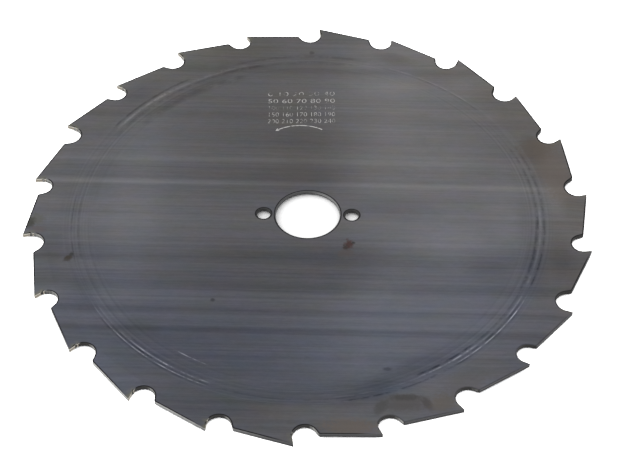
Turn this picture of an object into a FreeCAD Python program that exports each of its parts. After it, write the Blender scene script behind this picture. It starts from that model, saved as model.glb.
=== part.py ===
import FreeCAD, Part
import math
import os

# A circular brush cutter blade, stamped from one steel sheet.
# Lengths are in millimetres and angles in degrees.
# The origin is the bore's centre, halfway through the sheet.
# +Z leaves the marked face, +X runs through a drive pin hole,
# and the tooth tips point anticlockwise seen from +Z.

# Sheet and arbor
tip_diameter = 225.0
sheet_thickness = 1.8
bore_diameter = 25.4
bore_edge_break = 0.3
pin_hole_count = 2
pin_hole_diameter = 5.3
pin_edge_break = 0.35
# Steel left between the bore's wall and each pin hole's wall
pin_hole_land = 2.15

# Tooth outline
# The rake is undercut by the hook angle and runs into a round gullet.
# A straight flank leaves the gullet and meets the next tooth's back at a rounded heel.
tooth_count = 22
first_tip_angle = 7.58
hook_angle = 12.0
rake_length = 2.75
gullet_radius = 4.5
flank_lean = 31.0
back_angle = 15.0
heel_radius = 0.95

# Tooth set
# Teeth lean to alternate sides of the sheet, by this much at the tip.
tooth_set = 0.66
set_bend_radius = 9.0

# Tension ring, rolled into both faces
ring_diameter = 186.5
ring_width = 2.2
ring_floor_width = 1.2
ring_depth = 0.06

tip_radius = tip_diameter / 2
half_sheet = sheet_thickness / 2
pin_circle_radius = (bore_diameter + pin_hole_diameter) / 2 + pin_hole_land
pitch_angle = 360.0 / tooth_count


def cosine(angle):
    return math.cos(math.radians(angle))


def sine(angle):
    return math.sin(math.radians(angle))


def place(radial, tangential, angle, height=0.0):
    # Turns a point given along and across the radius at an angle into the blade's axes.
    return FreeCAD.Vector(
        radial * cosine(angle) - tangential * sine(angle),
        radial * sine(angle) + tangential * cosine(angle),
        height,
    )


def cross(first, second):
    return first.x * second.y - first.y * second.x


def line(start, end):
    return Part.LineSegment(start, end).toShape()


def arc(start, middle, end):
    return Part.Arc(start, middle, end).toShape()


# The gullet ahead of a tip, for a tip at angle zero
gullet_along = tip_radius - rake_length * cosine(hook_angle) - gullet_radius * sine(hook_angle)
gullet_across = gullet_radius * cosine(hook_angle) - rake_length * sine(hook_angle)
gullet_centre_radius = math.hypot(gullet_along, gullet_across)
gullet_lead = math.degrees(math.atan2(gullet_across, gullet_along))
root_radius = gullet_centre_radius - gullet_radius
tooth_base_radius = root_radius - gullet_radius
rake_turn = gullet_lead - 90.0 - hook_angle
flank_turn = 90.0 - flank_lean


def gullet_point(turn, gullet_angle):
    # A point on the gullet's circle, turned from its lowest point towards the next tooth.
    return place(
        gullet_centre_radius - gullet_radius * cosine(turn),
        gullet_radius * sine(turn),
        gullet_angle,
    )


def heel_edges(tip, gullet_angle):
    # The back, the rounded heel and the flank, from the tip down to the gullet behind it.
    back_way = place(-sine(back_angle), -cosine(back_angle), 0.0)
    flank_foot = gullet_point(flank_turn, gullet_angle)
    flank_way = place(cosine(flank_lean), sine(flank_lean), gullet_angle)
    back_length = cross(flank_foot - tip, flank_way) / cross(back_way, flank_way)
    corner = tip + back_way * back_length
    half_corner = math.degrees(back_way.getAngle(flank_way)) / 2
    trim = heel_radius / math.tan(math.radians(half_corner))
    inward = (back_way + flank_way) * -1.0
    inward.normalize()
    heel_middle = corner + inward * (heel_radius / sine(half_corner) - heel_radius)
    heel_start = corner - back_way * trim
    heel_end = corner - flank_way * trim
    return [
        line(tip, heel_start),
        arc(heel_start, heel_middle, heel_end),
        line(heel_end, flank_foot),
    ]


def tooth_outline():
    # One tooth between the lowest points of its two gullets, with its foot in the sheet.
    behind_angle = gullet_lead - pitch_angle
    tip = place(tip_radius, 0.0, 0.0)
    rake_foot = gullet_point(rake_turn, gullet_lead)
    root_ahead = gullet_point(0.0, gullet_lead)
    root_behind = gullet_point(0.0, behind_angle)
    foot_ahead = place(tooth_base_radius, 0.0, gullet_lead)
    foot_middle = place(tooth_base_radius, 0.0, gullet_lead - pitch_angle / 2)
    foot_behind = place(tooth_base_radius, 0.0, behind_angle)
    edges = [
        line(foot_ahead, root_ahead),
        arc(root_ahead, gullet_point(rake_turn / 2, gullet_lead), rake_foot),
        line(rake_foot, tip),
    ]
    edges += heel_edges(tip, behind_angle)
    edges += [
        arc(
            gullet_point(flank_turn, behind_angle),
            gullet_point(flank_turn / 2, behind_angle),
            root_behind,
        ),
        line(root_behind, foot_behind),
        arc(foot_behind, foot_middle, foot_ahead),
    ]
    return Part.Face(Part.Wire(edges))


def bent_sheet():
    # The sheet under one tooth, flat up to the gullets and then bent upwards to the set.
    middle_angle = gullet_lead - pitch_angle / 2
    bend_start = root_radius * cosine(pitch_angle / 2)
    tip_run = tip_radius * cosine(middle_angle) - bend_start
    tangent_reach = math.hypot(tip_run, set_bend_radius - tooth_set)
    bend_angle = math.degrees(
        math.atan2(tip_run, set_bend_radius - tooth_set)
        - math.acos(set_bend_radius / tangent_reach)
    )
    half_width = tip_radius * sine(pitch_angle)
    flat_start = tooth_base_radius - gullet_radius

    def section_point(along, height):
        return place(along, -half_width, middle_angle, height)

    def bend_point(radius, turn):
        return section_point(
            bend_start + radius * sine(turn), set_bend_radius - radius * cosine(turn)
        )

    inner_radius = set_bend_radius - half_sheet
    outer_radius = set_bend_radius + half_sheet
    tail = place(cosine(bend_angle), 0.0, middle_angle, sine(bend_angle)) * (2 * tip_run)
    upper_end = bend_point(inner_radius, bend_angle)
    lower_end = bend_point(outer_radius, bend_angle)
    section = Part.Wire([
        line(section_point(flat_start, -half_sheet), bend_point(outer_radius, 0.0)),
        arc(
            bend_point(outer_radius, 0.0),
            bend_point(outer_radius, bend_angle / 2),
            lower_end,
        ),
        line(lower_end, lower_end + tail),
        line(lower_end + tail, upper_end + tail),
        line(upper_end + tail, upper_end),
        arc(
            upper_end,
            bend_point(inner_radius, bend_angle / 2),
            bend_point(inner_radius, 0.0),
        ),
        line(bend_point(inner_radius, 0.0), section_point(flat_start, half_sheet)),
        line(section_point(flat_start, half_sheet), section_point(flat_start, -half_sheet)),
    ])
    return Part.Face(section).extrude(place(0.0, 2 * half_width, middle_angle))


def circular_edges(shape, radius):
    return [
        edge
        for edge in shape.Edges
        if isinstance(edge.Curve, Part.Circle) and abs(edge.Curve.Radius - radius) < 1e-6
    ]


def tension_groove():
    # The shallow track of a tensioning roller, with sloped sides and a flat floor.
    centre = ring_diameter / 2
    surface = half_sheet
    floor = half_sheet - ring_depth
    corners = [
        (centre - ring_width / 2, surface),
        (centre - ring_floor_width / 2, floor),
        (centre + ring_floor_width / 2, floor),
        (centre + ring_width / 2, surface),
    ]
    points = [FreeCAD.Vector(along, 0.0, height) for along, height in corners]
    track = Part.Face(Part.makePolygon(points + points[:1]))
    return track.revolve(FreeCAD.Vector(), FreeCAD.Vector(0, 0, 1), 360)


def centre_disc():
    below = FreeCAD.Vector(0, 0, -half_sheet)
    disc = Part.makeCylinder(tooth_base_radius, sheet_thickness, below)
    disc = disc.cut(Part.makeCylinder(bore_diameter / 2, sheet_thickness, below))
    for index in range(pin_hole_count):
        spot = place(pin_circle_radius, 0.0, index * 360.0 / pin_hole_count, -half_sheet)
        disc = disc.cut(Part.makeCylinder(pin_hole_diameter / 2, sheet_thickness, spot))
    disc = disc.makeChamfer(bore_edge_break, circular_edges(disc, bore_diameter / 2))
    disc = disc.makeChamfer(pin_edge_break, circular_edges(disc, pin_hole_diameter / 2))
    groove = tension_groove()
    lower_groove = groove.mirror(FreeCAD.Vector(), FreeCAD.Vector(0, 0, 1))
    return disc.cut([groove, lower_groove])


def set_teeth():
    depth = sheet_thickness + tooth_set
    blank = tooth_outline()
    blank.translate(FreeCAD.Vector(0, 0, -depth))
    upper_tooth = blank.extrude(FreeCAD.Vector(0, 0, 2 * depth)).common(bent_sheet())
    lower_tooth = upper_tooth.mirror(FreeCAD.Vector(), FreeCAD.Vector(0, 0, 1))
    teeth = []
    for index in range(tooth_count):
        tooth = (lower_tooth if index % 2 == 0 else upper_tooth).copy()
        tip_angle = first_tip_angle + index * pitch_angle
        tooth.rotate(FreeCAD.Vector(), FreeCAD.Vector(0, 0, 1), tip_angle)
        teeth.append(tooth)
    return teeth


blade = centre_disc().fuse(set_teeth()).removeSplitter()
if blade.ShapeType != "Solid":
    blade = blade.Solids[0]

os.makedirs("parts", exist_ok=True)
blade.exportStep("parts/blade.step")
bounds = blade.BoundBox
print("valid", blade.isValid(), "faces", len(blade.Faces), "volume", round(blade.Volume, 2))
print("size", round(bounds.XLength, 3), round(bounds.YLength, 3), round(bounds.ZLength, 3))
print("root radius", round(root_radius, 3), "gullet lead", round(gullet_lead, 3))
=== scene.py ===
import math

import bpy
from mathutils import Matrix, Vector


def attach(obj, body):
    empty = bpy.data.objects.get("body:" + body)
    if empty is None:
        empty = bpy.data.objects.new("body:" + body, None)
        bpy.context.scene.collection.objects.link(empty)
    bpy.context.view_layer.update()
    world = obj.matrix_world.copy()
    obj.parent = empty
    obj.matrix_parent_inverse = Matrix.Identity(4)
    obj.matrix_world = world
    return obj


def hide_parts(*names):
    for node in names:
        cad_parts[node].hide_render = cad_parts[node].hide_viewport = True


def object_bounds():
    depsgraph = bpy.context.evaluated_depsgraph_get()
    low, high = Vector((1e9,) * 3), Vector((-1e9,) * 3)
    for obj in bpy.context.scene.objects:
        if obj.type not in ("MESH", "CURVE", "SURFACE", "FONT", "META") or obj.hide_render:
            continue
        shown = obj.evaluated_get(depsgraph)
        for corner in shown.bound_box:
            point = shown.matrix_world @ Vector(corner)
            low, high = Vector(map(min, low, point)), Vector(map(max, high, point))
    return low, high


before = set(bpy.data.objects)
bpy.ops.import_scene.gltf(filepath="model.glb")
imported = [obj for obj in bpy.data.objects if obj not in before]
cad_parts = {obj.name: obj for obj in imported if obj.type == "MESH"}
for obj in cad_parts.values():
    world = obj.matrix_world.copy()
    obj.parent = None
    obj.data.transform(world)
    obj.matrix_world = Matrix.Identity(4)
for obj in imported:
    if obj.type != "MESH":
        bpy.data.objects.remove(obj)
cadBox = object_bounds()
print("blade: frame loaded")


def mm(value):
    return value * 0.001


def deselectAll():
    bpy.ops.object.select_all(action='DESELECT')


# node helpers
def addNode(tree, kind, sockets=None, **settings):
    node = tree.nodes.new(kind)
    for name, value in settings.items():
        setattr(node, name, value)
    for name, value in (sockets or {}).items():
        if isinstance(value, bpy.types.NodeSocket):
            tree.links.new(value, node.inputs[name])
        else:
            node.inputs[name].default_value = value
    return node


def calc(tree, operation, *values):
    node = addNode(tree, 'ShaderNodeMath', dict(enumerate(values)), operation=operation)
    return node.outputs[0]


def blend(tree, low, high, mask):
    # a colour between two, by a mask
    node = tree.nodes.new('ShaderNodeMix')
    node.data_type = 'RGBA'
    for index, value in ((0, mask), (6, low), (7, high)):
        if isinstance(value, bpy.types.NodeSocket):
            tree.links.new(value, node.inputs[index])
        elif index:
            node.inputs[index].default_value = (*value, 1)
        else:
            node.inputs[index].default_value = value
    return node.outputs[2]


def smoothStep(tree, value, start, end, low=0.0, high=1.0):
    node = addNode(tree, 'ShaderNodeMapRange', interpolation_type='SMOOTHSTEP', clamp=False)
    for index, item in enumerate((value, start, end, low, high)):
        if isinstance(item, bpy.types.NodeSocket):
            tree.links.new(item, node.inputs[index])
        else:
            node.inputs[index].default_value = item
    return node.outputs[0]


def product(tree, *values):
    result = values[0]
    for value in values[1:]:
        result = calc(tree, 'MULTIPLY', result, value)
    return result


def newGroup(name, inputs, outputs):
    tree = bpy.data.node_groups.new(name, 'ShaderNodeTree')
    for label, kind in inputs:
        tree.interface.new_socket(label, in_out='INPUT', socket_type='NodeSocket' + kind)
    for label, kind in outputs:
        tree.interface.new_socket(label, in_out='OUTPUT', socket_type='NodeSocket' + kind)
    return tree, tree.nodes.new('NodeGroupInput').outputs, tree.nodes.new('NodeGroupOutput').inputs


def inMillimetres(tree, place):
    node = addNode(tree, 'ShaderNodeVectorMath', {0: place, "Scale": 1000.0}, operation='SCALE')
    return node.outputs[0]


def axesOf(tree, place):
    return addNode(tree, 'ShaderNodeSeparateXYZ', {0: place}).outputs


def reachFromAxis(tree, axis):
    flat = addNode(tree, 'ShaderNodeCombineXYZ', {"X": axis["X"], "Y": axis["Y"]}).outputs[0]
    return addNode(tree, 'ShaderNodeVectorMath', {0: flat}, operation='LENGTH').outputs["Value"]


def towards(tree, axis, degrees):
    # how far a point lies in one direction round the axis, in mm
    turn = math.radians(degrees)
    return calc(tree, 'MULTIPLY_ADD', axis["X"], math.cos(turn),
                calc(tree, 'MULTIPLY', axis["Y"], math.sin(turn)))


def bell(tree, value, middle, width):
    away = calc(tree, 'DIVIDE', calc(tree, 'SUBTRACT', value, middle), width)
    return calc(tree, 'EXPONENT', product(tree, product(tree, away, away), -1.0))


def makeNoise(tree, place, scale, detail, **sockets):
    return addNode(tree, 'ShaderNodeTexNoise', {
        "Vector": place, "Scale": scale, "Detail": detail, **sockets,
    }).outputs[0]


def angleRound(tree, axis):
    return calc(tree, 'DEGREES', calc(tree, 'ARCTAN2', axis["Y"], axis["X"]))


def useGroup(tree, name, sockets):
    node = tree.nodes.new('ShaderNodeGroup')
    node.node_tree = bpy.data.node_groups[name]
    for label, value in sockets.items():
        if isinstance(value, bpy.types.NodeSocket):
            tree.links.new(value, node.inputs[label])
        else:
            node.inputs[label].default_value = value
    return node.outputs


# camera, fitted to the outline in the photograph
camera = {
    "lens": 103.78,            # mm
    "frameWidth": 36,
    "near": 10,
    "place": (20.62, -492.11, 511.34),
    "elevation": 46.610,       # degrees
    "turn": 2.3,
    "roll": -0.506,
}


def addCamera():
    bpy.ops.object.camera_add()
    view = bpy.context.object
    view.name = "photoCamera"
    turn = Matrix.Rotation(math.radians(camera["turn"]), 4, 'Z')
    tip = Matrix.Rotation(math.radians(90 - camera["elevation"]), 4, 'X')
    roll = Matrix.Rotation(math.radians(camera["roll"]), 4, 'Z')
    place = Matrix.Translation([mm(value) for value in camera["place"]])
    view.matrix_world = place @ turn @ tip @ roll
    view.data.lens = camera["lens"]
    view.data.sensor_width = camera["frameWidth"]
    view.data.clip_start = mm(camera["near"])
    bpy.context.scene.camera = view


addCamera()
print("blade: camera placed")

# studio: white floor, white surroundings, one soft lamp from the left
studio = {
    "floorSize": 6000,         # mm
    "floorWhite": 3.20,        # colour that the camera sees round the blade
    "floorShadedInHoles": 1.30,      # colour that the camera sees through the bore and the pin holes, dimmer than round the blade: painted shade in the holes
    "holesReach": (30, 60),    # mm, where the one colour gives way to the other
    "floorColour": 0.30,       # colour that lights the blade
    "floorGlow": 0.70,         # what reflections see of the floor by itself
    "surroundLight": 0.74,     # world strength on matt surfaces
    "keyPlace": (-820, -60, 860),
    "keySize": 1500,
    "keyPower": 5.5,
}


def addFloor():
    deselectAll()
    bpy.ops.mesh.primitive_plane_add(size=mm(studio["floorSize"]), location=(0, 0, cadBox[0][2]))
    floor = bpy.context.object
    floor.name = "whiteFloor"
    material = bpy.data.materials.new("floorWhite")
    material.use_nodes = True
    tree = material.node_tree
    tree.nodes.clear()
    rays = addNode(tree, 'ShaderNodeLightPath').outputs
    where = addNode(tree, 'ShaderNodeTexCoord').outputs["Object"]
    reach = addNode(tree, 'ShaderNodeVectorMath', {0: where}, operation='LENGTH').outputs["Value"]
    inner, outer = [mm(value) for value in studio["holesReach"]]
    white = smoothStep(tree, reach, inner, outer, studio["floorShadedInHoles"], studio["floorWhite"])
    brighter = calc(tree, 'SUBTRACT', white, studio["floorColour"])
    pale = calc(tree, 'MULTIPLY_ADD', rays["Is Camera Ray"], brighter, studio["floorColour"])
    matt = addNode(tree, 'ShaderNodeBsdfDiffuse', {"Color": pale})
    glow = addNode(tree, 'ShaderNodeEmission', {
        "Color": (1, 1, 1, 1),
        "Strength": calc(tree, 'MULTIPLY', rays["Is Glossy Ray"], studio["floorGlow"]),
    })
    both = addNode(tree, 'ShaderNodeAddShader', {0: matt.outputs[0], 1: glow.outputs[0]})
    addNode(tree, 'ShaderNodeOutputMaterial', {"Surface": both.outputs[0]})
    floor.data.materials.append(material)


def addSurroundings():
    world = bpy.data.worlds.new("whiteStudio")
    bpy.context.scene.world = world
    world.use_nodes = True
    tree = world.node_tree
    tree.nodes.clear()
    rays = addNode(tree, 'ShaderNodeLightPath').outputs
    seen = calc(tree, 'MAXIMUM', rays["Is Camera Ray"], rays["Is Glossy Ray"])
    strength = calc(tree, 'ADD', studio["surroundLight"],
                    calc(tree, 'MULTIPLY', seen, 1 - studio["surroundLight"]))
    sky = addNode(tree, 'ShaderNodeBackground', {"Color": (1, 1, 1, 1), "Strength": strength})
    addNode(tree, 'ShaderNodeOutputWorld', {"Surface": sky.outputs[0]})


def addKeyLamp():
    deselectAll()
    place = [mm(value) for value in studio["keyPlace"]]
    bpy.ops.object.light_add(type='AREA', location=place)
    lamp = bpy.context.object
    lamp.name = "keyLamp"
    lamp.data.shape = 'DISK'
    lamp.data.size = mm(studio["keySize"])
    lamp.data.energy = studio["keyPower"]
    lamp.rotation_euler = (-lamp.location).to_track_quat('-Z', 'Y').to_euler()


addFloor()
addSurroundings()
addKeyLamp()
bpy.context.scene.view_settings.view_transform = 'Standard'
print("blade: studio set")

# the blade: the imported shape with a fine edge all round
blade = {
    "teeth": 22,
    "firstTip": 7.58,          # degrees
    "hook": 12.0,
    "tipReach": 112.5,         # mm from the axis
    "groundFrom": 107.6,       # mm from the axis, where the grinding of the rake starts
    "backFrom": 106.5,         # mm from the axis, where the back of a tooth starts
    "edgeBand": 0.65,          # mm, darker band along every cut edge
    "edgeBreak": 0.09,
    "edgeSegments": 2,
    "sharpAngle": 30,          # degrees, edges sharper than this are broken
    "smoothAngle": 20,
    "flatAngle": 0.3,          # facets closer than this to one plane are joined
    "normalWeight": 90,
}
faceSlots = {"rolled": 0, "cut": 1, "ground": 2, "back": 3}


def selectFaces(piece, wanted):
    # faces picked by a test on their centre and normal
    bpy.ops.mesh.select_mode(type='FACE')
    bpy.ops.mesh.select_all(action='DESELECT')
    bpy.ops.object.mode_set(mode='OBJECT')
    for face in piece.data.polygons:
        face.select = wanted(face)
    bpy.ops.object.mode_set(mode='EDIT')


def isFlat(face):
    return abs(face.normal.z) > 0.99


def isRake(face):
    # a cut face that looks forward from its tooth's tip
    reach = math.hypot(face.center.x, face.center.y)
    if reach < mm(blade["groundFrom"]):
        return False
    pitch = 360 / blade["teeth"]
    facing = math.degrees(math.atan2(face.normal.y, face.normal.x))
    lean = (facing - 90 - blade["hook"] - blade["firstTip"]) % pitch
    around = math.degrees(math.atan2(face.center.y, face.center.x))
    behindTip = (around - blade["firstTip"]) % pitch
    onTooth = min(behindTip, pitch - behindTip) < 2.5
    return min(lean, pitch - lean) < 3 and onTooth


def isBack(face):
    # a cut face that looks outwards, behind a tooth's tip
    reach = math.hypot(face.center.x, face.center.y)
    outward = (face.normal.x * face.center.x + face.normal.y * face.center.y) / reach
    return reach > mm(blade["backFrom"]) and outward > 0.9


def makeBlade():
    piece = bpy.data.objects.new("steelBlade", bpy.data.objects["blade"].data.copy())
    bpy.context.scene.collection.objects.link(piece)
    deselectAll()
    piece.select_set(True)
    bpy.context.view_layer.objects.active = piece
    bpy.ops.object.mode_set(mode='EDIT')
    bpy.ops.mesh.select_all(action='SELECT')
    bpy.ops.mesh.remove_doubles(threshold=1e-6)
    bpy.ops.mesh.dissolve_limited(angle_limit=math.radians(blade["flatAngle"]))
    selectFaces(piece, isFlat)
    bpy.ops.mesh.inset(thickness=mm(blade["edgeBand"]), use_boundary=True, use_even_offset=True)
    bpy.ops.object.mode_set(mode='OBJECT')
    edge = piece.modifiers.new("edgeBreak", 'BEVEL')
    edge.width = mm(blade["edgeBreak"])
    edge.segments = blade["edgeSegments"]
    edge.limit_method = 'ANGLE'
    edge.angle_limit = math.radians(blade["sharpAngle"])
    bpy.ops.object.modifier_apply(modifier=edge.name)
    bpy.ops.object.shade_smooth_by_angle(angle=math.radians(blade["smoothAngle"]))
    even = piece.modifiers.new("evenNormals", 'WEIGHTED_NORMAL')
    even.mode = 'FACE_AREA'
    even.weight = blade["normalWeight"]
    even.keep_sharp = True
    bpy.ops.object.modifier_apply(modifier=even.name)
    return piece


def markCuts(piece):
    # a slot for each kind of wall; its points carry their height on it, from -1 to 1,
    # and 1 where a dark line runs along its edge
    lined = {}
    heights = {}
    upright = []
    sloped = []
    for face in piece.data.polygons:
        if isFlat(face):
            face.material_index = faceSlots["rolled"]
            continue
        kind = "ground" if isRake(face) else "back" if isBack(face) else "cut"
        face.material_index = faceSlots[kind]
        for index in face.vertices:
            lined[index] = min(lined.get(index, 1.0), 0.0 if kind == "ground" else 1.0)
        (sloped if abs(face.normal.z) > 0.3 else upright).append(face)
    for face in upright:
        for index in face.vertices:
            above = piece.data.vertices[index].co.z > face.center.z
            heights[index] = 1.0 if above else -1.0
    for face in sloped:
        for index in face.vertices:
            heights.setdefault(index, 1.0 if face.normal.z > 0 else -1.0)
    for name, values in (("edgeBand", lined), ("wallHeight", heights)):
        layer = piece.data.attributes.new(name, 'FLOAT', 'POINT')
        for index, value in values.items():
            layer.data[index].value = value


steelBlade = makeBlade()
print("blade: body shaped,", len(steelBlade.data.polygons), "faces")


# long streaks along X, from -1 to 1
def buildStreaks():
    tree, given, out = newGroup(
        "rollStreaks",
        [("Place", 'Vector'), ("Length", 'Float'), ("Pitch", 'Float'), ("Seed", 'Float')],
        [("Streak", 'Float')],
    )
    along = calc(tree, 'DIVIDE', 1.0, given["Length"])
    across = calc(tree, 'DIVIDE', 1.0, given["Pitch"])
    scale = addNode(tree, 'ShaderNodeCombineXYZ', {"X": along, "Y": across, "Z": 0.0}).outputs[0]
    shift = addNode(tree, 'ShaderNodeCombineXYZ', {
        "X": given["Seed"], "Y": given["Seed"],
    }).outputs[0]
    spot = addNode(tree, 'ShaderNodeMapping', {
        "Vector": given["Place"], "Location": shift, "Scale": scale,
    }).outputs[0]
    noise = makeNoise(tree, spot, 1.0, 2.0, Roughness=0.5)
    tree.links.new(calc(tree, 'MULTIPLY_ADD', noise, 4.0, -2.0), out["Streak"])


# one streak across the whole sheet
def buildBand():
    tree, given, out = newGroup(
        "rollBand", [("Across", 'Float'), ("At", 'Float'), ("Width", 'Float')],
        [("Mask", 'Float')],
    )
    tree.links.new(bell(tree, given["Across"], given["At"], given["Width"]), out["Mask"])


# a stain with a soft, ragged rim
def buildStain():
    tree, given, out = newGroup(
        "softStain",
        [("X", 'Float'), ("Y", 'Float'), ("At X", 'Float'), ("At Y", 'Float'),
         ("Half Length", 'Float'), ("Half Height", 'Float'), ("Turn", 'Float'),
         ("Ragged", 'Float'), ("Grain", 'Float'), ("Soft", 'Float')],
        [("Mask", 'Float')],
    )
    alongX = calc(tree, 'SUBTRACT', given["X"], given["At X"])
    alongY = calc(tree, 'SUBTRACT', given["Y"], given["At Y"])
    turn = calc(tree, 'RADIANS', given["Turn"])
    cosine = calc(tree, 'COSINE', turn)
    sine = calc(tree, 'SINE', turn)
    lengthwise = calc(tree, 'MULTIPLY_ADD', alongX, cosine, calc(tree, 'MULTIPLY', alongY, sine))
    crosswise = calc(tree, 'SUBTRACT', calc(tree, 'MULTIPLY', alongY, cosine),
                     calc(tree, 'MULTIPLY', alongX, sine))
    lengthwise = calc(tree, 'DIVIDE', lengthwise, given["Half Length"])
    crosswise = calc(tree, 'DIVIDE', crosswise, given["Half Height"])
    reach = calc(tree, 'SQRT', calc(tree, 'MULTIPLY_ADD', lengthwise, lengthwise,
                                    calc(tree, 'MULTIPLY', crosswise, crosswise)))
    rim = calc(tree, 'MULTIPLY_ADD', given["Grain"], given["Ragged"], reach)
    start = calc(tree, 'SUBTRACT', 1.0, given["Soft"])
    end = calc(tree, 'ADD', 1.0, given["Soft"])
    tree.links.new(smoothStep(tree, rim, start, end, 1.0, 0.0), out["Mask"])


# part of a fine circle along the tension roller's track, for its marks and for painted glints on it
def buildRollerLine():
    tree, given, out = newGroup(
        "rollerLine",
        [("Reach", 'Float'), ("Around", 'Float'), ("Broken", 'Float'), ("At", 'Float'),
         ("Width", 'Float'), ("Middle", 'Float'), ("Half", 'Float'), ("Fade", 'Float')],
        [("Mask", 'Float')],
    )
    line = bell(tree, given["Reach"], given["At"], given["Width"])
    turn = calc(tree, 'SUBTRACT', given["Around"], given["Middle"])
    turn = calc(tree, 'WRAP', turn, 180.0, -180.0)
    end = calc(tree, 'ADD', given["Half"], given["Fade"])
    window = smoothStep(tree, calc(tree, 'ABSOLUTE', turn), given["Half"], end, 1.0, 0.0)
    tree.links.new(product(tree, line, window, given["Broken"]), out["Mask"])


# many faint circles round the axis, from -1 to 1
def buildTracks():
    tree, given, out = newGroup(
        "rollerTracks", [("Place", 'Vector'), ("Reach", 'Float'), ("Pitch", 'Float')],
        [("Track", 'Float')],
    )
    spot = addNode(tree, 'ShaderNodeCombineXYZ', {
        "X": calc(tree, 'DIVIDE', given["Reach"], given["Pitch"]),
    }).outputs[0]
    drift = addNode(tree, 'ShaderNodeVectorMath', {0: given["Place"], "Scale": 0.012},
                    operation='SCALE').outputs[0]
    spot = addNode(tree, 'ShaderNodeVectorMath', {0: spot, 1: drift}, operation='ADD').outputs[0]
    noise = makeNoise(tree, spot, 1.0, 1.0)
    tree.links.new(calc(tree, 'MULTIPLY_ADD', noise, 4.0, -2.0), out["Track"])


for build in (buildStreaks, buildBand, buildStain, buildRollerLine, buildTracks):
    build()

# the rolled face: tones are written as they look on screen, from 0 to 1
rolledFace = {
    "tone": 0.362,
    # across the streaks, mm: place, half width, tone
    "bands": [
        (100, 10, 0.023), (85.5, 1.4, -0.020), (80.5, 1.8, 0.020), (74, 5, 0.022),
        (56.5, 1.6, -0.009), (33, 3.5, 0.011), (30, 1.2, 0.022), (24.5, 4.5, -0.010),
        (16.5, 2.0, 0.036), (5.2, 1.6, 0.016), (0.2, 0.9, 0.018), (-6, 5, 0.018),
        (-24, 5.5, -0.044), (-32, 0.9, -0.020), (-34, 0.9, -0.018), (-38.4, 3.4, -0.045),
        (-51.2, 1.8, -0.045), (-61.3, 2.0, -0.040), (-75, 14, -0.034), (-97, 9, -0.032),
    ],
    # along the streaks, mm: place, half width, tone; a painted reflection of the studio, lighter
    # and darker from left to right
    "sheenReflections": [(-30, 24, -0.031), (0, 18, -0.022), (30, 16, 0.018), (56, 22, 0.031)],
    # length mm, pitch mm, tone
    "streaks": [(260, 7.0, 0.010), (200, 2.2, 0.015), (160, 1.0, 0.013), (120, 0.45, 0.011),
                (6, 1.3, 0.009), (1.7, 0.8, 0.008)],
    # length mm, pitch mm, seed, red, blue
    "hues": [(20, 9, 71.0, 0.008, 0.000), (20, 9, 83.0, 0.000, 0.011), (7, 5, 95.0, 0.005, 0.006),
             (7, 5, 19.0, -0.003, 0.008)],
    "firstSeed": 3.7,
    "nextSeed": 11.3,
    "wander": (60.0, 40.0, 51.0),      # of the bands: length mm, pitch mm, seed
    "wanderDepth": 0.3,                # mm
    "underShift": 300.0,               # mm, between the patterns of the two faces
    "wideGrain": 0.05,                 # noise scales, per mm
    "patchGrain": 0.12,
    "stainGrain": 0.8,
    "breakGrain": 0.22,                # breaks up the roller lines
    "breakRange": (0.36, 0.60, 0.15, 1.0),
    "tracksInside": (83.0, 87.0),      # mm from the axis, the roller's tracks start and end
    "tracksOutside": (98.0, 95.5),
    "trackPitch": 0.9,
    "trackTone": 0.018,
    "roughness": 0.42,
    "streakRoughness": 2.0,
}

# colour casts, red and blue against green, and where they lie
casts = {
    "plain": (0.004, 0.006),
    "nearSide": (-0.014, 0.032),
    "nearFrom": (40.0, -70.0),         # mm along Y
    "rightRim": (0.006, -0.010),
    "rimFrom": (92.0, 100.0),          # mm from the axis
    "rightFrom": (0.0, 90.0),          # mm along X
    "rightBelow": (-75.0, -45.0, 0.3, 1.0),
    "rightTakes": -0.7,                # share of the near side's cast that is lost here
    "middle": (-8, -24, 44, 26, 0),    # mm: x, y, half length, half height, turn
    "middleTakes": -0.55,
    "nearRim": (0.010, -0.024),
    "nearRimAround": (-86.0, 32.0),    # degrees: middle, half width
    "nearRimFrom": (94.0, 98.0),       # mm from the axis
    "nearRimGrain": 1.4,
}

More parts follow.
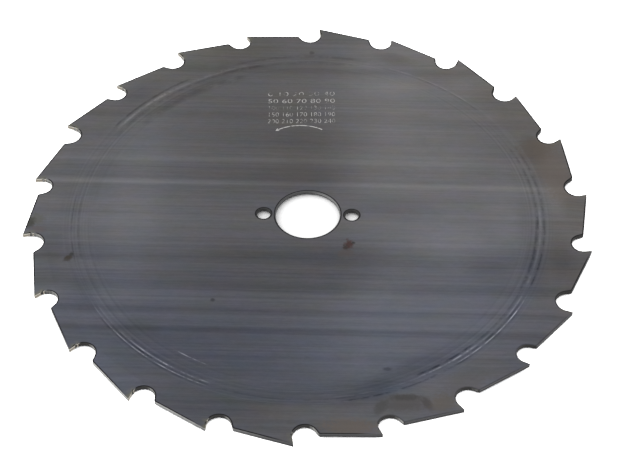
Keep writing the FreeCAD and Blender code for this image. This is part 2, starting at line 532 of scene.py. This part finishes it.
# dark and light patches, mm: x, y, half length, half height, turn, tone
patches = [
    (27, 54, 20, 34, 0, 0.026),
    (84, 6, 14, 20, 0, 0.030),
    (0, 68, 16, 16, 0, 0.008),
    (26, -87, 12, 4.5, 0, -0.024),
    (-70, 4, 10, 50, 0, 0.022),
    (62, -18, 26, 6, 0, 0.020),
    (-48, -22, 16, 4, 0, 0.014),
    (-85, -46, 6, 7, 0, -0.024),
    (26, -84.6, 28, 1.8, 0, -0.022),
    (-56, -62, 12, 3, 0, 0.016),
    (52, 81, 8, 5, 0, -0.022),
    (30, 75.5, 14, 2.5, 0, 0.018),
    (66, 58, 16, 1.6, 0, 0.020),
    (-95, 2, 5, 9, 0, -0.016),
    (-60, -62, 24, 14, -35, -0.022),
    (4, -98, 16, 6, 0, 0.034),
    (56, -14, 14, 10, 0, 0.018),
    (56, 30, 14, 10, 0, 0.012),
    (0, 24, 16, 7, 0, -0.016),
    (-66, 66, 24, 14, 40, -0.014),
    (40, -79, 24, 4.5, 33, -0.040),
    (88, -12, 4, 22, 4, -0.028),
    (34, 4, 15, 5, 0, -0.030),
    (17, -25, 12, 11, 0, -0.020),
    (-6, 18, 20, 6, 0, -0.020),
    (4, 42, 22, 9, 0, -0.022),
    (12, -62, 22, 16, 0, 0.022),
    (8, -80, 20, 9, 0, 0.018),
    (19, 89, 9, 3, 0, 0.022),
    (-74, 69, 9, 6, 42, -0.030),
    (34, 94, 7, 3, -20, -0.035),
    (92, 36, 3.5, 9, 14, -0.040),
    (99, 11, 3.5, 8, 6, 0.030),
    (-55, 68, 18, 2.2, 39, -0.032),
    (-30, 98, 16, 9, 17, -0.022),
    (16, -90, 20, 4, 8, -0.020),
    (-66, 55, 16, 6, 50, 0.014),
    (-100, -19, 6, 15, 0, -0.018),
    (-61, -61.5, 9, 3.2, -10, -0.026),
    (70, -27, 6, 5, 0, -0.020),
    (98, -18, 5, 14, 10, -0.028),
    (27, -40, 10, 4, 0, 0.020),
    (74, 72, 10, 5, -45, -0.014),
]

# olive, brown and bluish tints, mm: x, y, half length, half height, turn, red, blue
tints = [
    (-39, 97, 34, 9, 22, 0.001, -0.014),
    (-98, -32, 14, 8, -72, 0.001, -0.016),
    (87, -50, 22, 7, 60, -0.004, 0.014),
    (-72, 30, 24, 24, 0, -0.006, 0.008),
    (0, -88, 50, 9, 0, -0.001, -0.008),
    (-64, -62, 9, 5, 0, 0.000, -0.012),
    (-6, 46, 14, 22, 0, 0.003, -0.004),
]

# stains, mm: x, y, half length, half height, turn, screen colour, strength, ragged
stains = [
    (-107.5, -6.0, 3.2, 3.0, 0, (0.350, 0.350, 0.325), 0.60, 1.8),
    (-109.6, -8.4, 1.7, 2.8, -20, (0.255, 0.255, 0.235), 0.75, 1.6),
    (-105.9, -11.2, 3.0, 1.6, 0, (0.365, 0.335, 0.335), 0.60, 1.4),
    (16.6, -15.9, 1.45, 2.3, 0, (0.275, 0.212, 0.206), 0.95, 1.9),
    (15.4, -17.6, 0.9, 1.4, 10, (0.23, 0.205, 0.200), 0.90, 2.0),
    (18.4, -14.9, 0.7, 0.55, 0, (0.22, 0.218, 0.218), 0.85, 1.2),
    (15.0, -20.5, 3.2, 1.8, 15, (0.32, 0.295, 0.290), 0.60, 2.0),
    (-91.2, -24.2, 0.8, 1.4, -25, (0.225, 0.225, 0.228), 0.90, 1.6),
    (-92.2, -26.1, 1.35, 1.3, -35, (0.245, 0.228, 0.212), 0.95, 1.8),
    (-92.7, -27.1, 1.3, 0.7, 10, (0.26, 0.250, 0.245), 0.80, 1.6),
    (-1.6, 97.3, 1.0, 1.0, 0, (0.29, 0.285, 0.285), 0.80, 1.0),
    (32, -78, 1.6, 0.8, 0, (0.26, 0.270, 0.305), 0.85, 1.2),
    (-34.5, -46.2, 0.8, 0.8, 0, (0.24, 0.242, 0.260), 0.90, 0.8),
    (99, 26, 6.0, 16, 14, (0.395, 0.362, 0.340), 0.60, 1.4),
    (92, 40, 7.0, 6.0, 30, (0.350, 0.320, 0.295), 0.60, 1.6),
    (19, -105, 9.0, 3.6, 0, (0.385, 0.345, 0.318), 0.60, 1.8),
    (38, -93.6, 7.6, 3.4, 4, (0.300, 0.290, 0.288), 0.60, 1.0),
    (29.6, -95.6, 2.0, 3.4, -25, (0.272, 0.272, 0.272), 0.60, 1.0),
    (38.5, -90.9, 5.2, 1.3, 2, (0.262, 0.258, 0.258), 0.70, 1.0),
    (46.4, -93.4, 1.5, 3.0, 30, (0.272, 0.262, 0.262), 0.65, 1.0),
    (52, -93.0, 4.6, 3.4, 30, (0.368, 0.345, 0.318), 0.60, 1.6),
    (60, -84, 9.0, 5.0, 35, (0.335, 0.325, 0.322), 0.40, 1.4),
    (-6, 24, 9.0, 6.0, 0, (0.335, 0.318, 0.308), 0.35, 1.0),
]

# roller lines and painted glints: radius mm, half width mm, middle and half of the arc in degrees,
# tone; lighter arcs are painted highlights where the roller's groove catches the light
rollerLinesAndGlints = [
    (93.98, 0.20, 226.5, 4.5, 0.20),
    (93.88, 0.20, 234.5, 4.0, 0.12),
    (93.88, 0.20, 242, 4.5, 0.18),
    (93.95, 0.24, 217.5, 3.5, 0.07),
    (92.40, 0.24, 228, 3, 0.14),
    (92.35, 0.26, 234.5, 3.5, 0.13),
    (92.30, 0.26, 242, 5, 0.18),
    (92.50, 0.24, 218, 3.5, 0.06),
    (85.00, 0.22, 242, 2.2, 0.19),
    (85.05, 0.22, 238.5, 1, 0.07),
    (93.98, 0.20, 319, 9, 0.24),
    (94.00, 0.22, 330, 3, 0.08),
    (92.12, 0.30, 306, 5.5, 0.20),
    (92.25, 0.30, 315, 3, 0.07),
    (92.40, 0.28, 330.5, 3, 0.09),
    (92.40, 0.30, 288, 9, 0.04),
    (91.80, 0.5, 350, 11, 0.06),
    (93.50, 0.55, 140, 8, 0.10),
    (93.20, 0.8, 122, 12, 0.05),
    (93.70, 0.35, 57, 11, 0.06),
    (93.20, 0.26, 227, 5, -0.10),
    (93.15, 0.26, 239, 8, -0.08),
    (94.60, 0.25, 232, 14, -0.06),
    (91.50, 0.5, 236, 10, -0.05),
    (93.15, 0.32, 320, 10, -0.09),
    (94.70, 0.3, 319, 10, -0.05),
    (94.60, 0.35, 290, 9, -0.09),
    (94.40, 0.40, 306, 5, -0.07),
    (91.10, 0.5, 306, 6, -0.08),
    (91.00, 0.5, 330, 30, -0.05),
    (91.30, 0.7, 128, 22, -0.05),
    (95.20, 0.5, 137, 11, -0.08),
    (86.40, 2.0, 128, 16, -0.035),
    (93.40, 0.5, 10, 14, -0.07),
    (90.90, 0.5, 10, 14, -0.06),
    (93.20, 0.4, 53, 9, -0.05),
    (95.00, 0.9, 95, 14, -0.04),
    (91.00, 0.8, 95, 14, -0.035),
    (93.20, 0.4, 268, 14, -0.03),
    (93.50, 0.4, 347, 8, -0.08),
    (90.30, 0.5, 347, 10, -0.06),
    (93.40, 0.3, 186, 9, -0.05),
    (90.90, 0.4, 186, 9, -0.04),
]


def stainMask(tree, axis, spot, ragged, grain, soft):
    x, y, length, height, turn = spot
    return useGroup(tree, "softStain", {
        "X": axis["X"], "Y": axis["Y"], "At X": x, "At Y": y, "Half Length": length,
        "Half Height": height, "Turn": turn, "Ragged": ragged, "Grain": grain, "Soft": soft,
    })["Mask"]


def addCast(tree, red, blue, mask, cast):
    redShift, blueShift = cast
    red = calc(tree, 'MULTIPLY_ADD', mask, redShift, red)
    return red, calc(tree, 'MULTIPLY_ADD', mask, blueShift, blue)


def sumStreaks(tree, flat):
    # the plain tone with its streaks, and the streaks by themselves
    tone = rolledFace["tone"]
    fine = 0.0
    for index, (length, pitch, depth) in enumerate(rolledFace["streaks"]):
        streak = useGroup(tree, "rollStreaks", {
            "Place": flat, "Length": length, "Pitch": pitch,
            "Seed": rolledFace["firstSeed"] + rolledFace["nextSeed"] * index,
        })["Streak"]
        tone = calc(tree, 'MULTIPLY_ADD', streak, depth, tone)
        fine = calc(tree, 'MULTIPLY_ADD', streak, depth, fine)
    return tone, fine


def sumBands(tree, flat, axis):
    length, pitch, seed = rolledFace["wander"]
    wander = useGroup(tree, "rollStreaks", {
        "Place": flat, "Length": length, "Pitch": pitch, "Seed": seed,
    })["Streak"]
    across = calc(tree, 'MULTIPLY_ADD', wander, rolledFace["wanderDepth"], axis["Y"])
    extra = 0.0
    for place, rows in ((across, rolledFace["bands"]), (axis["X"], rolledFace["sheenReflections"])):
        for at, width, depth in rows:
            mask = useGroup(tree, "rollBand", {"Across": place, "At": at, "Width": width})["Mask"]
            extra = calc(tree, 'MULTIPLY_ADD', mask, depth, extra)
    return extra


def addPatches(tree, axis, grain, extra):
    for *spot, depth in patches:
        mask = stainMask(tree, axis, spot, 0.7, grain, 0.75)
        extra = calc(tree, 'MULTIPLY_ADD', mask, depth, extra)
    return extra


def addRollerLinesAndGlints(tree, reach, around, broken, extra):
    for radius, width, middle, half, depth in rollerLinesAndGlints:
        mask = useGroup(tree, "rollerLine", {
            "Reach": reach, "Around": around, "Broken": broken, "At": radius, "Width": width,
            "Middle": middle, "Half": half, "Fade": 3.0,
        })["Mask"]
        extra = calc(tree, 'MULTIPLY_ADD', mask, depth, extra)
    return extra


def addTracks(tree, flat, reach, tone):
    inRing = product(tree, smoothStep(tree, reach, *rolledFace["tracksInside"]),
                     smoothStep(tree, reach, *rolledFace["tracksOutside"]))
    track = useGroup(tree, "rollerTracks", {
        "Place": flat, "Reach": reach, "Pitch": rolledFace["trackPitch"],
    })["Track"]
    return calc(tree, 'MULTIPLY_ADD', track, product(tree, inRing, rolledFace["trackTone"]), tone)


def castColours(tree, axis, reach, around, grains, tone):
    # red and blue: bluish towards the viewer, brownish at the rim on the right and near sides
    nearSide = smoothStep(tree, axis["Y"], *casts["nearFrom"])
    rim = smoothStep(tree, reach, *casts["rimFrom"])
    rightRim = product(tree, rim, smoothStep(tree, axis["X"], *casts["rightFrom"]))
    rightRim = product(tree, rightRim, smoothStep(tree, axis["Y"], *casts["rightBelow"]))
    cool = product(tree, nearSide, calc(tree, 'MULTIPLY_ADD', rightRim, casts["rightTakes"], 1.0))
    middle = stainMask(tree, axis, casts["middle"], 0.6, grains["wideGrain"], 0.7)
    cool = product(tree, cool, calc(tree, 'MULTIPLY_ADD', middle, casts["middleTakes"], 1.0))
    plainRed, plainBlue = casts["plain"]
    nearRed, nearBlue = casts["nearSide"]
    red = calc(tree, 'ADD', tone, calc(tree, 'MULTIPLY_ADD', cool, nearRed, plainRed))
    blue = calc(tree, 'ADD', tone, calc(tree, 'MULTIPLY_ADD', cool, nearBlue, plainBlue))
    red, blue = addCast(tree, red, blue, rightRim, casts["rightRim"])
    at, width = casts["nearRimAround"]
    nearRim = useGroup(tree, "rollBand", {"Across": around, "At": at, "Width": width})["Mask"]
    nearRim = product(tree, nearRim, smoothStep(tree, reach, *casts["nearRimFrom"]))
    grain = calc(tree, 'MULTIPLY_ADD', grains["patchGrain"], casts["nearRimGrain"], 1.0)
    return addCast(tree, red, blue, product(tree, nearRim, grain), casts["nearRim"])


def addStains(tree, axis, grain, marked, screen):
    for *spot, stainColour, strength, ragged in stains:
        mask = stainMask(tree, axis, spot, ragged, grain, 0.5)
        shown = product(tree, mask, product(tree, marked, strength))
        screen = blend(tree, screen, stainColour, shown)
    return screen


def buildRolledFace():
    tree, given, out = newGroup(
        "rolledFace", [("Object", 'Vector')],
        [("Color", 'Color'), ("Roughness", 'Float'), ("Height", 'Float')],
    )
    axis = axesOf(tree, inMillimetres(tree, given["Object"]))
    marked = calc(tree, 'GREATER_THAN', axis["Z"], 0.0)
    under = calc(tree, 'SUBTRACT', 1.0, marked)
    flat = addNode(tree, 'ShaderNodeCombineXYZ', {
        "X": axis["X"], "Y": axis["Y"], "Z": product(tree, under, rolledFace["underShift"]),
    }).outputs[0]
    grains = {}
    for name in ("wideGrain", "patchGrain", "stainGrain"):
        noise = makeNoise(tree, flat, rolledFace[name], 3.0)
        grains[name] = calc(tree, 'SUBTRACT', noise, 0.5)
    noise = makeNoise(tree, flat, rolledFace["breakGrain"], 3.0, Roughness=0.7)
    broken = smoothStep(tree, noise, *rolledFace["breakRange"])
    tone, fine = sumStreaks(tree, flat)
    extra = sumBands(tree, flat, axis)
    extra = addPatches(tree, axis, grains["patchGrain"], extra)
    reach = reachFromAxis(tree, axis)
    around = angleRound(tree, axis)
    extra = addRollerLinesAndGlints(tree, reach, around, broken, extra)
    tone = calc(tree, 'MULTIPLY_ADD', extra, marked, tone)
    tone = addTracks(tree, flat, reach, tone)
    red, blue = castColours(tree, axis, reach, around, grains, tone)
    for length, pitch, seed, *cast in rolledFace["hues"]:
        drift = useGroup(tree, "rollStreaks", {
            "Place": flat, "Length": length, "Pitch": pitch, "Seed": seed,
        })["Streak"]
        red, blue = addCast(tree, red, blue, drift, cast)
    for *spot, redShift, blueShift in tints:
        mask = product(tree, stainMask(tree, axis, spot, 0.9, grains["patchGrain"], 0.6), marked)
        red, blue = addCast(tree, red, blue, mask, (redShift, blueShift))
    screen = addNode(tree, 'ShaderNodeCombineXYZ', {"X": red, "Y": tone, "Z": blue}).outputs[0]
    screen = addStains(tree, axis, grains["stainGrain"], marked, screen)
    colour = addNode(tree, 'ShaderNodeGamma', {"Color": screen, "Gamma": 2.2}).outputs[0]
    rough = calc(tree, 'MULTIPLY_ADD', fine, rolledFace["streakRoughness"], rolledFace["roughness"])
    tree.links.new(colour, out["Color"])
    tree.links.new(rough, out["Roughness"])
    tree.links.new(fine, out["Height"])


buildRolledFace()


def newMaterial(name):
    material = bpy.data.materials.new(name)
    material.use_nodes = True
    tree = material.node_tree
    tree.nodes.clear()
    surface = addNode(tree, 'ShaderNodeBsdfPrincipled')
    addNode(tree, 'ShaderNodeOutputMaterial', {"Surface": surface.outputs[0]})
    where = addNode(tree, 'ShaderNodeTexCoord').outputs["Object"]
    return material, tree, surface, where


# the dark line along every edge of the face, and the olive tint behind each rake
edgeSides = {
    "line": 0.97,                      # strength
    "lineColour": (0.005, 0.005, 0.006),
    "lineRange": (0.05, 0.45),
    "rimFrom": (60.0, 80.0),           # mm from the axis
    "farFrom": (-50.0, 20.0),          # mm along Y, the line grows wider
    "farWider": 1.1,
    "weakMiddle": 310.0,               # degrees, the line is weak round here
    "weakHalf": (32.0, 20.0),
    "weaker": -0.60,
    "brown": (0.155, 0.152, 0.098),
    "brownBehind": (2.4, 0.2),         # mm behind the rake
    "brownReach": (106.5, 109.5),      # mm from the axis
    "brownAcross": (40.0, -60.0, 0.25, 0.75),
    "brownGrain": 0.5,
    "brownRange": (0.30, 0.65),
}


def behindRake(tree, around, reach):
    # how far a point lies behind the rake of its tooth, in mm
    pitch = 360 / blade["teeth"]
    behind = calc(tree, 'WRAP', calc(tree, 'SUBTRACT', blade["firstTip"], around), pitch, 0.0)
    behind = product(tree, calc(tree, 'RADIANS', behind), reach)
    hook = math.tan(math.radians(blade["hook"]))
    undercut = product(tree, calc(tree, 'SUBTRACT', blade["tipReach"], reach), hook)
    return calc(tree, 'SUBTRACT', behind, undercut)


def buildEdgeSides():
    tree, given, out = newGroup(
        "edgeSides", [("Object", 'Vector')],
        [("Wide", 'Float'), ("Line", 'Float'), ("Brown", 'Float')],
    )
    axis = axesOf(tree, inMillimetres(tree, given["Object"]))
    flat = addNode(tree, 'ShaderNodeCombineXYZ', {"X": axis["X"], "Y": axis["Y"]}).outputs[0]
    reach = reachFromAxis(tree, axis)
    around = angleRound(tree, axis)
    onRim = smoothStep(tree, reach, *edgeSides["rimFrom"])
    far = product(tree, smoothStep(tree, axis["Y"], *edgeSides["farFrom"]), onRim)
    tree.links.new(calc(tree, 'MULTIPLY_ADD', far, edgeSides["farWider"], 1.0), out["Wide"])
    fromMiddle = calc(tree, 'SUBTRACT', around, edgeSides["weakMiddle"])
    fromMiddle = calc(tree, 'ABSOLUTE', calc(tree, 'WRAP', fromMiddle, 180.0, -180.0))
    weak = product(tree, smoothStep(tree, fromMiddle, *edgeSides["weakHalf"]), onRim)
    line = calc(tree, 'MULTIPLY_ADD', weak, edgeSides["weaker"], edgeSides["line"])
    tree.links.new(line, out["Line"])
    behind = behindRake(tree, around, reach)
    noise = makeNoise(tree, flat, edgeSides["brownGrain"], 3.0)
    brown = product(
        tree,
        smoothStep(tree, behind, *edgeSides["brownBehind"]),
        smoothStep(tree, reach, *edgeSides["brownReach"]),
        smoothStep(tree, noise, *edgeSides["brownRange"]),
        smoothStep(tree, axis["X"], *edgeSides["brownAcross"]),
    )
    tree.links.new(brown, out["Brown"])


buildEdgeSides()


def rolledMaterial():
    material, tree, surface, where = newMaterial("rolledSteel")
    face = useGroup(tree, "rolledFace", {"Object": where})
    side = useGroup(tree, "edgeSides", {"Object": where})
    browned = blend(tree, face["Color"], edgeSides["brown"], side["Brown"])
    band = addNode(tree, 'ShaderNodeAttribute', attribute_name="edgeBand").outputs["Fac"]
    edge = smoothStep(tree, product(tree, band, side["Wide"]), *edgeSides["lineRange"])
    dark = blend(tree, browned, edgeSides["lineColour"], product(tree, edge, side["Line"]))
    bump = addNode(tree, 'ShaderNodeBump', {
        "Height": face["Height"], "Strength": 0.25, "Distance": 0.0001,
    })
    tree.links.new(dark, surface.inputs["Base Color"])
    tree.links.new(face["Roughness"], surface.inputs["Roughness"])
    tree.links.new(bump.outputs[0], surface.inputs["Normal"])
    surface.inputs["Metallic"].default_value = 0.8
    return material


# sheared walls: tooth backs are painted pale where they face the left, painted light from the
# lamp's side; gullets and holes are painted dark as painted shade, with painted light on their
# sides that face the left
cutWalls = {
    "litToward": 205,         # degrees, walls facing this way get painted light
    "leftSide": 175,           # gullets round here are painted pale all along, as painted light
    # pale: backs that face the lamp's side, painted light; dark: backs turned away from it, painted
    # shade
    "pale": (0.84, 0.84, 0.82),
    "dark": (0.11, 0.11, 0.115),
    # band: colour of the dark band along the backs, painted shade
    "band": (0.006, 0.006, 0.006),
    # gullet walls are painted near black as painted shade, with pale strokes painted on as painted
    # light
    "gullet": (0.018, 0.017, 0.016),
    "gulletStroke": (0.50, 0.50, 0.48),
    "holeReach": 30,           # mm, walls inside it belong to the holes
    "boreFrom": 13.2,          # mm, the bore's wall ends here and the pin holes' walls start
    # bore walls are painted pale on the side that faces the left as painted light, and darker at
    # their foot and in the pin holes as painted shade
    "boreDark": (0.085, 0.085, 0.087),
    "boreLitSide": (0.27, 0.27, 0.27),
    "boreFootShade": (0.030, 0.030, 0.030),
    "pinHoleShade": (0.022, 0.022, 0.022),
    "strokePitch": 0.9,        # mm, of the sheared walls
    "backPitch": 1.4,
    "rakePitch": 0.3,
    "strokeUp": 0.35,          # how fast a stroke changes up the wall, per mm
    "strokeRange": (0.32, 0.68),
    "leftRange": (0.75, 0.95),
    # the rake's pale colour is painted along its top and bottom edges as painted highlights; its
    # darker brownish colour is the ground face's own
    "rakeEdgeGlint": (0.86, 0.83, 0.75),
    "rakeDark": (0.34, 0.30, 0.24),
}


def buildPunchStrokes():
    # short strokes through the sheet's thickness, from 0 to 1, the share of a spot's reach
    # that lies towards the lit side and towards the left, which place painted light, and the reach
    # itself in mm
    tree, given, out = newGroup(
        "punchStrokes", [("Object", 'Vector'), ("Pitch", 'Float')],
        [("Stroke", 'Float'), ("Toward", 'Float'), ("Left", 'Float'), ("Reach", 'Float')],
    )
    place = inMillimetres(tree, given["Object"])
    axis = axesOf(tree, place)
    tight = calc(tree, 'DIVIDE', 1.0, given["Pitch"])
    scale = addNode(tree, 'ShaderNodeCombineXYZ', {
        "X": tight, "Y": tight, "Z": cutWalls["strokeUp"],
    }).outputs[0]
    spot = addNode(tree, 'ShaderNodeMapping', {"Vector": place, "Scale": scale}).outputs[0]
    noise = makeNoise(tree, spot, 1.0, 3.0)
    tree.links.new(smoothStep(tree, noise, *cutWalls["strokeRange"]), out["Stroke"])
    reach = reachFromAxis(tree, axis)
    for name, side in (("Toward", "litToward"), ("Left", "leftSide")):
        share = calc(tree, 'DIVIDE', towards(tree, axis, cutWalls[side]), reach)
        tree.links.new(share, out[name])
    tree.links.new(reach, out["Reach"])


buildPunchStrokes()


def wallHeight(tree):
    return addNode(tree, 'ShaderNodeAttribute', attribute_name="wallHeight").outputs["Fac"]


# gullet walls: painted shade, with pale strokes painted where they face the left or lie on the left
# side as painted light, and darker towards their foot as painted shade
def gulletColour(tree, wall, facing):
    onLeft = product(tree, smoothStep(tree, wall["Left"], *cutWalls["leftRange"]),
                     smoothStep(tree, facing, 0.0, 0.5))
    side = calc(tree, 'MAXIMUM', onLeft, smoothStep(tree, facing, 0.65, 0.97))
    lit = product(tree, calc(tree, 'MULTIPLY_ADD', wall["Stroke"], 0.6, 0.4), side)
    lit = product(tree, lit, smoothStep(tree, wallHeight(tree), -0.9, 0.1, 0.35, 1.0))
    return blend(tree, cutWalls["gullet"], cutWalls["gulletStroke"], lit)


# hole walls: painted light where they face the left, painted shade at their foot, and the pin
# holes' walls painted dark as painted shade
def holeColour(tree, wall, facing):
    lit = smoothStep(tree, facing, 0.35, 0.85)
    hole = blend(tree, cutWalls["boreDark"], cutWalls["boreLitSide"], lit)
    hole = blend(tree, hole, cutWalls["boreFootShade"], smoothStep(tree, wallHeight(tree), 0.1, -0.7))
    inPin = smoothStep(tree, wall["Reach"], cutWalls["boreFrom"], cutWalls["boreFrom"] + 1)
    return blend(tree, hole, cutWalls["pinHoleShade"], inPin)


def cutMaterial():
    material, tree, surface, where = newMaterial("cutSteel")
    wall = useGroup(tree, "punchStrokes", {"Object": where, "Pitch": cutWalls["strokePitch"]})
    pale = math.radians(cutWalls["litToward"])
    normal = addNode(tree, 'ShaderNodeTexCoord').outputs["Normal"]
    facing = addNode(tree, 'ShaderNodeVectorMath', {
        0: normal, 1: (math.cos(pale), math.sin(pale), 0.0),
    }, operation='DOT_PRODUCT').outputs["Value"]
    gullet = gulletColour(tree, wall, facing)
    inHole = smoothStep(tree, wall["Reach"], cutWalls["holeReach"] + 1, cutWalls["holeReach"])
    finishWall(tree, surface, wall, blend(tree, gullet, holeColour(tree, wall, facing), inHole))
    return material


def backMaterial():
    # painted shade: a dark band runs along each back, lowest and darkest on the right side, turned
    # away from the lamp
    material, tree, surface, where = newMaterial("backSteel")
    wall = useGroup(tree, "punchStrokes", {"Object": where, "Pitch": cutWalls["backPitch"]})
    # backs facing the left are painted pale, painted light from the lamp's side
    facing = smoothStep(tree, wall["Toward"], 0.42, 0.97)
    litFromLeft = product(tree, facing, calc(tree, 'MULTIPLY_ADD', wall["Stroke"], 0.25, 0.75))
    colour = blend(tree, cutWalls["dark"], cutWalls["pale"], litFromLeft)
    middle = smoothStep(tree, wall["Toward"], 0.55, 0.15, -0.3, -0.7)
    middle = calc(tree, 'MULTIPLY_ADD', wall["Stroke"], 0.3, middle)
    depth = smoothStep(tree, wall["Toward"], 0.9, 0.0, 0.30, 0.90)
    mask = useGroup(tree, "rollBand", {
        "Across": wallHeight(tree), "At": middle, "Width": 0.55,
    })["Mask"]
    colour = blend(tree, colour, cutWalls["band"], product(tree, mask, depth))
    finishWall(tree, surface, wall, colour)
    return material


def finishWall(tree, surface, wall, colour):
    tree.links.new(colour, surface.inputs["Base Color"])
    bump = addNode(tree, 'ShaderNodeBump', {
        "Height": wall["Stroke"], "Strength": 0.4, "Distance": 0.00005,
    })
    tree.links.new(bump.outputs[0], surface.inputs["Normal"])
    rough = calc(tree, 'MULTIPLY_ADD', wall["Stroke"], -0.15, 0.6)
    tree.links.new(rough, surface.inputs["Roughness"])
    surface.inputs["Metallic"].default_value = 0.3


def groundMaterial():
    material, tree, surface, where = newMaterial("groundSteel")
    wall = useGroup(tree, "punchStrokes", {"Object": where, "Pitch": cutWalls["rakePitch"]})
    # the ground face is painted pale along its top and bottom edges, painted highlights, and keeps
    # its darker brownish tone between them
    rims = smoothStep(tree, calc(tree, 'ABSOLUTE', wallHeight(tree)), 0.25, 0.75)
    shine = product(tree, rims, calc(tree, 'MULTIPLY_ADD', wall["Stroke"], 0.4, 0.6))
    colour = blend(tree, cutWalls["rakeDark"], cutWalls["rakeEdgeGlint"], shine)
    tree.links.new(colour, surface.inputs["Base Color"])
    rough = calc(tree, 'MULTIPLY_ADD', wall["Stroke"], 0.15, 0.35)
    tree.links.new(rough, surface.inputs["Roughness"])
    surface.inputs["Metallic"].default_value = 0.6
    return material


steelBlade.data.materials.clear()
for maker in (rolledMaterial, cutMaterial, groundMaterial, backMaterial):
    steelBlade.data.materials.append(maker())
markCuts(steelBlade)
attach(steelBlade, "root")
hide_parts("blade")
print("blade: materials made")

# etched marks: rows of plain numbers and the arrow of rotation, pale and partly worn away
faceMarks = {
    "turn": 2.3,               # degrees, of the rows against the streaks
    # place in mm, strength
    "rows": [(70.9, 0.68), (66.5, 0.96), (62.2, 0.62), (58.2, 0.86), (54.1, 0.80)],
    "perRow": 5,
    "step": 10,                # from number to number
    "left": -16.6,
    "length": 28.4,
    "faceHeight": 0.9,         # mm, of the marked face above the sheet's middle
    "height": 2.5,             # mm, of a number
    "digitShare": 0.69,        # of the font's size
    "stroke": 0.012,           # mm, above the face
    "thin": 0.07,              # mm, taken off each side of a number's strokes
    "arrowCentre": (-3.0, 33.5),
    "arrowRadius": 17.9,
    "arrowHalf": 31.3,         # degrees
    "arrowLine": 0.42,
    "arrowHead": 0.95,
    "pale": (0.64, 0.63, 0.62),
    "cover": 0.85,
}


def placeMark(piece, spot):
    # from the rows' own frame to the blade's
    turn = Matrix.Rotation(math.radians(faceMarks["turn"]), 4, 'Z')
    shift = [mm(value) for value in (*spot, faceMarks["faceHeight"])]
    piece.data.transform(turn @ Matrix.Translation(shift))
    piece.matrix_world = Matrix.Identity(4)


def setStrength(piece, strength):
    layer = piece.data.attributes.new("markStrength", 'FLOAT', 'POINT')
    for index in range(len(piece.data.vertices)):
        layer.data[index].value = strength


def addNumberRow(index, y, strength):
    deselectAll()
    bpy.ops.object.text_add()
    row = bpy.context.object
    first = index * faceMarks["perRow"]
    numbers = range(first, first + faceMarks["perRow"])
    row.data.body = " ".join(str(number * faceMarks["step"]) for number in numbers)
    row.data.size = mm(faceMarks["height"] / faceMarks["digitShare"])
    row.data.extrude = mm(faceMarks["stroke"])
    row.data.offset = -mm(faceMarks["thin"])
    row.data.resolution_u = 3
    bpy.ops.object.convert(target='MESH')
    row = bpy.context.object
    wide = max(vertex.co.x for vertex in row.data.vertices)
    row.data.transform(Matrix.Diagonal((mm(faceMarks["length"]) / wide, 1, 1, 1)))
    placeMark(row, (faceMarks["left"], y - faceMarks["height"] / 2))
    setStrength(row, strength)
    return row


def addArrow():
    deselectAll()
    radius = faceMarks["arrowRadius"]
    half = faceMarks["arrowHalf"]
    thick = 2 * faceMarks["stroke"]
    centre = faceMarks["arrowCentre"]
    bpy.ops.mesh.primitive_plane_add(
        size=mm(1), location=(mm(radius), 0, 0), rotation=(math.pi / 2, 0, 0),
    )
    line = bpy.context.object
    line.scale = (faceMarks["arrowLine"], thick, 1)
    bpy.ops.object.transform_apply(location=True, rotation=True, scale=True)
    bpy.ops.object.mode_set(mode='EDIT')
    bpy.ops.mesh.select_all(action='SELECT')
    bpy.ops.mesh.spin(steps=24, angle=math.radians(2 * half), center=(0, 0, 0), axis=(0, 0, 1))
    bpy.ops.mesh.select_all(action='SELECT')
    bpy.ops.mesh.normals_make_consistent(inside=False)
    bpy.ops.object.mode_set(mode='OBJECT')
    start = min(math.atan2(vertex.co.y, vertex.co.x) for vertex in line.data.vertices)
    line.data.transform(Matrix.Rotation(math.radians(90 - half) - start, 4, 'Z'))
    placeMark(line, centre)
    setStrength(line, 1.0)
    deselectAll()
    bpy.ops.mesh.primitive_cylinder_add(
        vertices=3, radius=mm(faceMarks["arrowHead"]), depth=mm(thick),
    )
    head = bpy.context.object
    tip = math.radians(90 + half)
    spot = (mm(radius * math.cos(tip)), mm(radius * math.sin(tip)), 0)
    head.data.transform(Matrix.Rotation(tip, 4, 'Z'))
    head.data.transform(Matrix.Translation(spot))
    placeMark(head, centre)
    setStrength(head, 1.0)
    return [line, head]


def makeFaceMarks():
    parts = []
    for index, (y, strength) in enumerate(faceMarks["rows"]):
        parts.append(addNumberRow(index, y, strength))
    parts += addArrow()
    deselectAll()
    for part in parts:
        part.select_set(True)
    bpy.context.view_layer.objects.active = parts[0]
    bpy.ops.object.join()
    piece = bpy.context.object
    piece.name = "faceMarks"
    bpy.ops.object.mode_set(mode='EDIT')
    bpy.ops.mesh.select_all(action='SELECT')
    bpy.ops.mesh.remove_doubles(threshold=1e-7)
    bpy.ops.object.mode_set(mode='OBJECT')
    return piece


def markMaterial():
    material, tree, surface, where = newMaterial("etchedMark")
    face = useGroup(tree, "rolledFace", {"Object": where})
    strength = addNode(tree, 'ShaderNodeAttribute', attribute_name="markStrength").outputs["Fac"]
    noise = makeNoise(tree, where, 700.0, 3.0)
    kept = smoothStep(tree, calc(tree, 'MULTIPLY_ADD', strength, 0.45, noise), 0.68, 0.98)
    pale = blend(tree, face["Color"], faceMarks["pale"], product(tree, kept, faceMarks["cover"]))
    tree.links.new(pale, surface.inputs["Base Color"])
    tree.links.new(calc(tree, 'MULTIPLY_ADD', kept, 0.15, 0.42), surface.inputs["Roughness"])
    surface.inputs["Metallic"].default_value = 0.8
    return material


marks = makeFaceMarks()
marks.data.materials.clear()
marks.data.materials.append(markMaterial())
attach(marks, "root")
print("blade: marks etched,", len(marks.data.polygons), "faces")
